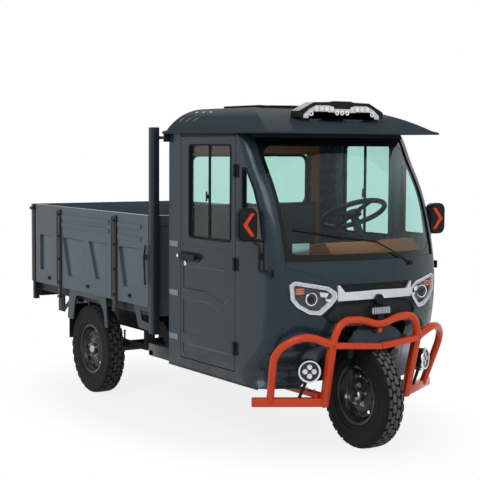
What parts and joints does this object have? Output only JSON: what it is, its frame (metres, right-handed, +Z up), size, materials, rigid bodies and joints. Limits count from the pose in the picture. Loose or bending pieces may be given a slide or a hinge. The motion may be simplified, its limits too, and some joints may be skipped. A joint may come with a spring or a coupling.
{
  "type": "electric cargo tricycle",
  "caption": "Closed-cab electric cargo tricycle with opening doors, drop-side cargo box, tailgate, steered front fork and free-rolling wheels.",
  "frame": {"origin": "on the ground under the middle of the overall length, on the centre plane", "axes": "+X forward, +Y to the vehicle's left, +Z up"},
  "size_m": [3.3654, 1.432, 1.895],
  "materials": {
    "body_paint": "gloss metallic slate grey",
    "frame_black": "satin black",
    "bumper_orange": "gloss orange red",
    "glass": "green tinted",
    "grille": "matte",
    "trim_silver": "satin silver",
    "lamp_lens": "clear",
    "tail_lens": "red lens",
    "black_plastic": "satin",
    "interior_trim": "brown textured",
    "seat_leather": "black gloss",
    "rim_black": "satin black",
    "tyre": "matte",
    "cast": "black painted"
  },
  "bodies": {
    "chassis": {"chassis_frame": "frame_black", "cab_floor": "frame_black", "cab_side_right": "body_paint", "cab_side_left": "body_paint", "cab_rear_wall": "body_paint", "cab_windows": "glass", "front_fascia": "body_paint", "front_grille": "grille", "front_trim": "trim_silver", "headlamps": "lamp_lens", "roof": "body_paint", "roof_light_bar": "black_plastic", "dashboard": "interior_trim", "steering_column": "black_plastic", "seat": "seat_leather", "mirrors": "black_plastic", "wiper": "black_plastic", "bumper": "bumper_orange", "bumper_lamps": "lamp_lens", "bed_floor": "frame_black", "bed_headboard": "body_paint", "rear_axle": "cast", "leaf_springs": "frame_black", "battery_box": "frame_black", "rear_fenders": "body_paint", "bed_steps": "body_paint", "tail_lamps": "tail_lens"},
    "door_right": {"door_right": "body_paint", "door_glass_right": "glass", "door_handle_right": "black_plastic"},
    "door_left": {"door_left": "body_paint", "door_glass_left": "glass", "door_handle_left": "black_plastic"},
    "side_board_right": {"side_board_right": "body_paint"},
    "side_board_left": {"side_board_left": "body_paint"},
    "tailgate": {"tailgate": "body_paint"},
    "steering_fork": {"front_fork": "frame_black", "front_mudguard": "black_plastic"},
    "front_wheel": {"front_rim": "rim_black", "front_tyre": "tyre"},
    "rear_wheel_right": {"rear_rim_right": "rim_black", "rear_tyre_right": "tyre"},
    "rear_wheel_left": {"rear_rim_left": "rim_black", "rear_tyre_left": "tyre"},
    "steering_wheel": {"steering_wheel": "black_plastic"}
  },
  "joints": [
    {"name": "front_steer", "type": "hinge", "parent": "chassis", "child": "steering_fork", "pos_m": [1.39025, 0, 0.2925], "axis": [0, 0, 1], "range_deg": [-35, 35]},
    {"name": "front_wheel_spin", "type": "hinge", "parent": "steering_fork", "child": "front_wheel", "pos_m": [1.39025, 0, 0.2925], "axis": [0, 1, 0], "continuous": true},
    {"name": "rear_wheel_right_spin", "type": "hinge", "parent": "chassis", "child": "rear_wheel_right", "pos_m": [-0.76575, -0.541, 0.2925], "axis": [0, 1, 0], "continuous": true},
    {"name": "rear_wheel_left_spin", "type": "hinge", "parent": "chassis", "child": "rear_wheel_left", "pos_m": [-0.76575, 0.541, 0.2925], "axis": [0, 1, 0], "continuous": true},
    {"name": "door_right_open", "type": "hinge", "parent": "chassis", "child": "door_right", "pos_m": [0.98125, -0.578, 1], "axis": [0, 0, 1], "range_deg": [0, 70]},
    {"name": "door_left_open", "type": "hinge", "parent": "chassis", "child": "door_left", "pos_m": [0.98125, 0.578, 1], "axis": [0, 0, -1], "range_deg": [0, 70]},
    {"name": "side_board_right_drop", "type": "hinge", "parent": "chassis", "child": "side_board_right", "pos_m": [-0.78975, -0.626, 0.6], "axis": [1, 0, 0], "range_deg": [0, 100]},
    {"name": "side_board_left_drop", "type": "hinge", "parent": "chassis", "child": "side_board_left", "pos_m": [-0.78975, 0.626, 0.6], "axis": [-1, 0, 0], "range_deg": [0, 100]},
    {"name": "tailgate_drop", "type": "hinge", "parent": "chassis", "child": "tailgate", "pos_m": [-1.67675, 0, 0.64], "axis": [0, -1, 0], "range_deg": [0, 100]},
    {"name": "steering_wheel_turn", "type": "hinge", "parent": "chassis", "child": "steering_wheel", "pos_m": [0.99025, 0.23, 1.255], "axis": [-0.454, 0, 0.891], "range_deg": [-52.5, 52.5]}
  ],
  "couplings": [
    {"joint": "steering_wheel_turn", "follows": "front_steer", "ratio": 1.5}
  ]
}
